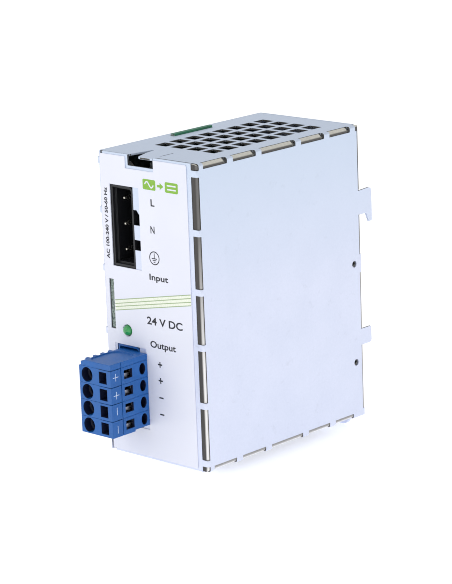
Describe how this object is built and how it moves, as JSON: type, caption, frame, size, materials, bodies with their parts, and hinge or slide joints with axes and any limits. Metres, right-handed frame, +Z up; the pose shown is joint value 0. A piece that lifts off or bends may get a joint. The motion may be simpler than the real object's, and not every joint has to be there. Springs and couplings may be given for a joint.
{
  "type": "din rail power supply",
  "caption": "Slim vented sheet-metal switching power supply that hooks on a 35 mm rail, with a mains header and a pull-off spring-clamp output plug on its front.",
  "frame": {"origin": "middle of the underside of the whole object, below the case, where the rail latch ends", "axes": "+Z up as on the rail, +Y to the back, towards the rail, +X to the right seen from the front"},
  "size_m": [0.0392, 0.0902, 0.0944],
  "materials": {
    "galvanised_steel": "bright zinc, faint mottling",
    "frame_steel": "plain zinc, rolled",
    "printed_film": "satin white printed film",
    "black_plastic": "moulded, fine grain",
    "blue_plastic": "moulded, satin",
    "tinned_brass": "bright tin plate",
    "spring_steel": "bright",
    "green_lens": "clear tinted, polished",
    "board_laminate": "solder mask over glass laminate",
    "insulating_film": "fish paper",
    "ferrite": "sintered, matt",
    "copper_winding": "enamelled wire under tape",
    "white_nylon": "moulded",
    "aluminium": "extruded, satin",
    "capacitor_sleeve": "shrink sleeve",
    "yellow_film_capacitor": "moulded box",
    "ceramic": "dipped lacquer",
    "glass_tube": "clear tube with end caps"
  },
  "bodies": {
    "case": {"case_tray": "galvanised_steel", "left_cover": "galvanised_steel", "inner_frame": "frame_steel", "front_label": "printed_film", "cover_screw_1": "spring_steel", "cover_screw_2": "spring_steel", "input_header": "black_plastic", "input_pin_pe": "tinned_brass", "input_pin_n": "tinned_brass", "input_pin_l": "tinned_brass", "output_header": "blue_plastic", "output_pin_1": "tinned_brass", "output_pin_2": "tinned_brass", "output_pin_3": "tinned_brass", "output_pin_4": "tinned_brass", "circuit_board": "board_laminate", "insulating_sheet": "insulating_film", "board_standoff_1": "white_nylon", "board_standoff_2": "white_nylon", "board_standoff_3": "white_nylon", "status_lamp": "green_lens", "lamp_holder": "black_plastic", "fuse": "glass_tube", "inrush_thermistor": "ceramic", "mains_capacitor": "yellow_film_capacitor", "mains_choke_core": "ferrite", "mains_choke_coil": "copper_winding", "bridge_rectifier": "black_plastic", "bulk_capacitor": "capacitor_sleeve", "switch_transistor": "black_plastic", "switch_heat_sink": "aluminium", "controller_chip": "black_plastic", "optocoupler": "black_plastic", "transformer_core": "ferrite", "transformer_bobbin": "white_nylon", "transformer_winding": "copper_winding", "output_rectifier": "black_plastic", "rectifier_heat_sink": "aluminium", "output_choke": "ferrite", "output_capacitor_1": "capacitor_sleeve", "output_capacitor_2": "capacitor_sleeve", "latch_spring": "spring_steel", "latch_keeper": "galvanised_steel", "keeper_rivet_1": "aluminium", "keeper_rivet_2": "aluminium"},
    "plug": {"plug_pole_1": "blue_plastic", "plug_contact_1": "tinned_brass", "plug_pole_2": "blue_plastic", "plug_contact_2": "tinned_brass", "plug_pole_3": "blue_plastic", "plug_contact_3": "tinned_brass", "plug_pole_4": "blue_plastic", "plug_contact_4": "tinned_brass", "plug_end_plate": "blue_plastic"},
    "latch": {"latch_slide": "galvanised_steel"},
    "clamp_1": {"plug_clamp_1": "spring_steel"},
    "clamp_2": {"plug_clamp_2": "spring_steel"},
    "clamp_3": {"plug_clamp_3": "spring_steel"},
    "clamp_4": {"plug_clamp_4": "spring_steel"}
  },
  "joints": [
    {"name": "plug_pull", "type": "slide", "parent": "case", "child": "plug", "axis": [0, -1, 0], "range_m": [0, 0.012]},
    {"name": "latch_pull", "type": "slide", "parent": "case", "child": "latch", "axis": [0, 0, -1], "range_m": [0, 0.004], "stiffness_N_per_m": 900, "springref_m": -0.003, "deforming": ["latch_spring"]},
    {"name": "clamp_1_open", "type": "slide", "parent": "plug", "child": "clamp_1", "axis": [-1, 0, 0], "range_m": [0, 0.002], "stiffness_N_per_m": 2000, "springref_m": -0.0005},
    {"name": "clamp_2_open", "type": "slide", "parent": "plug", "child": "clamp_2", "axis": [-1, 0, 0], "range_m": [0, 0.002], "stiffness_N_per_m": 2000, "springref_m": -0.0005},
    {"name": "clamp_3_open", "type": "slide", "parent": "plug", "child": "clamp_3", "axis": [-1, 0, 0], "range_m": [0, 0.002], "stiffness_N_per_m": 2000, "springref_m": -0.0005},
    {"name": "clamp_4_open", "type": "slide", "parent": "plug", "child": "clamp_4", "axis": [-1, 0, 0], "range_m": [0, 0.002], "stiffness_N_per_m": 2000, "springref_m": -0.0005}
  ]
}
